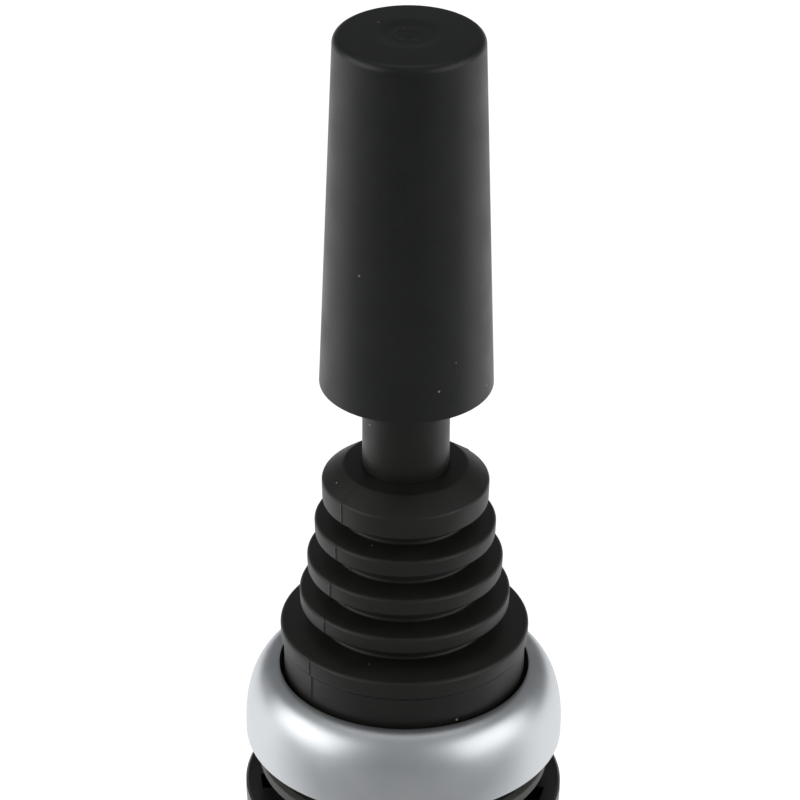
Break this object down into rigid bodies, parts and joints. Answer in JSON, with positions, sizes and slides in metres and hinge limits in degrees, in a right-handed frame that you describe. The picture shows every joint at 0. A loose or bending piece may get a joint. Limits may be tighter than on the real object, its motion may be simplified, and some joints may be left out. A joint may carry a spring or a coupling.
{
  "type": "industrial joystick",
  "caption": "Two-axis industrial joystick with tapered grip, rubber bellows and silver bezel, for a round panel hole, with switch blocks behind the panel.",
  "frame": {"origin": "centre of the panel hole in the plane of the panel's front face", "axes": "+Z out of the panel towards the operator, along the lever at rest; +X to the right and +Y up or away from the operator"},
  "size_m": [0.03, 0.03, 0.1158],
  "materials": {
    "grip_plastic": "fine matte, lightly textured",
    "stem_plastic": "matte",
    "bellows_rubber": "matte, slightly dusty",
    "bezel_metal": "satin",
    "gasket_rubber": "matte",
    "black_plastic": "satin",
    "dark_plastic": "matte",
    "slide_plastic": "smooth, natural acetal",
    "plated_steel": "zinc plated",
    "ground_steel": "ground",
    "spring_steel": "drawn wire",
    "brass_insert": "turned",
    "bronze": "sintered",
    "contact_brass": "stamped",
    "zinc_casting": "die cast, fine grain"
  },
  "bodies": {
    "body": {"bellows": "bellows_rubber", "bellows_clamp_ring": "plated_steel", "bezel_ring": "bezel_metal", "panel_gasket": "gasket_rubber", "barrel": "black_plastic", "gate_plate": "plated_steel", "gate_screws": "plated_steel", "pivot_base": "zinc_casting", "pivot_bushes": "bronze", "base_retaining_ring": "spring_steel", "ring_nut": "black_plastic", "contact_carrier": "dark_plastic", "carrier_lock_screws": "plated_steel", "terminal_screws": "plated_steel", "terminal_clamps": "plated_steel", "switch_housing_right": "dark_plastic", "switch_cover_right": "dark_plastic", "fixed_contacts_right": "contact_brass", "return_spring_right": "spring_steel", "switch_housing_back": "dark_plastic", "switch_cover_back": "dark_plastic", "fixed_contacts_back": "contact_brass", "return_spring_back": "spring_steel", "switch_housing_left": "dark_plastic", "switch_cover_left": "dark_plastic", "fixed_contacts_left": "contact_brass", "return_spring_left": "spring_steel", "switch_housing_front": "dark_plastic", "switch_cover_front": "dark_plastic", "fixed_contacts_front": "contact_brass", "return_spring_front": "spring_steel"},
    "cross": {"cardan_cross": "ground_steel", "cross_pin_long": "ground_steel", "cross_pins_short": "ground_steel"},
    "lever": {"wobble_plate": "zinc_casting", "lever_bushes": "bronze", "lever_rod": "ground_steel", "rod_lock_nut": "plated_steel", "gate_collar": "ground_steel", "lever_stem": "stem_plastic", "grip_insert": "brass_insert", "grip": "grip_plastic"},
    "push_right": {"push_rod_right": "slide_plastic", "switch_plunger_right": "slide_plastic", "contact_bridge_right": "contact_brass"},
    "push_back": {"push_rod_back": "slide_plastic", "switch_plunger_back": "slide_plastic", "contact_bridge_back": "contact_brass"},
    "push_left": {"push_rod_left": "slide_plastic", "switch_plunger_left": "slide_plastic", "contact_bridge_left": "contact_brass"},
    "push_front": {"push_rod_front": "slide_plastic", "switch_plunger_front": "slide_plastic", "contact_bridge_front": "contact_brass"}
  },
  "joints": [
    {"name": "tilt_x", "type": "hinge", "parent": "body", "child": "cross", "pos_m": [0, 0, 0.002], "axis": [1, 0, 0], "range_deg": [-12, 12], "stiffness_Nm_per_rad": 0.5, "deforming": ["bellows"]},
    {"name": "tilt_y", "type": "hinge", "parent": "cross", "child": "lever", "pos_m": [0, 0, 0.002], "axis": [0, 1, 0], "range_deg": [-12, 12], "stiffness_Nm_per_rad": 0.5},
    {"name": "slide_right", "type": "slide", "parent": "body", "child": "push_right", "axis": [0, 0, 1], "range_m": [-0.00149, 0.00149], "deforming": ["return_spring_right"]},
    {"name": "slide_back", "type": "slide", "parent": "body", "child": "push_back", "axis": [0, 0, 1], "range_m": [-0.00149, 0.00149], "deforming": ["return_spring_back"]},
    {"name": "slide_left", "type": "slide", "parent": "body", "child": "push_left", "axis": [0, 0, 1], "range_m": [-0.00149, 0.00149], "deforming": ["return_spring_left"]},
    {"name": "slide_front", "type": "slide", "parent": "body", "child": "push_front", "axis": [0, 0, 1], "range_m": [-0.00149, 0.00149], "deforming": ["return_spring_front"]}
  ],
  "couplings": [
    {"joint": "slide_back", "follows": "tilt_x", "m_per_rad": 0.0071042},
    {"joint": "slide_front", "follows": "tilt_x", "m_per_rad": -0.0071042},
    {"joint": "slide_right", "follows": "tilt_y", "m_per_rad": -0.0071042},
    {"joint": "slide_left", "follows": "tilt_y", "m_per_rad": 0.0071042}
  ]
}
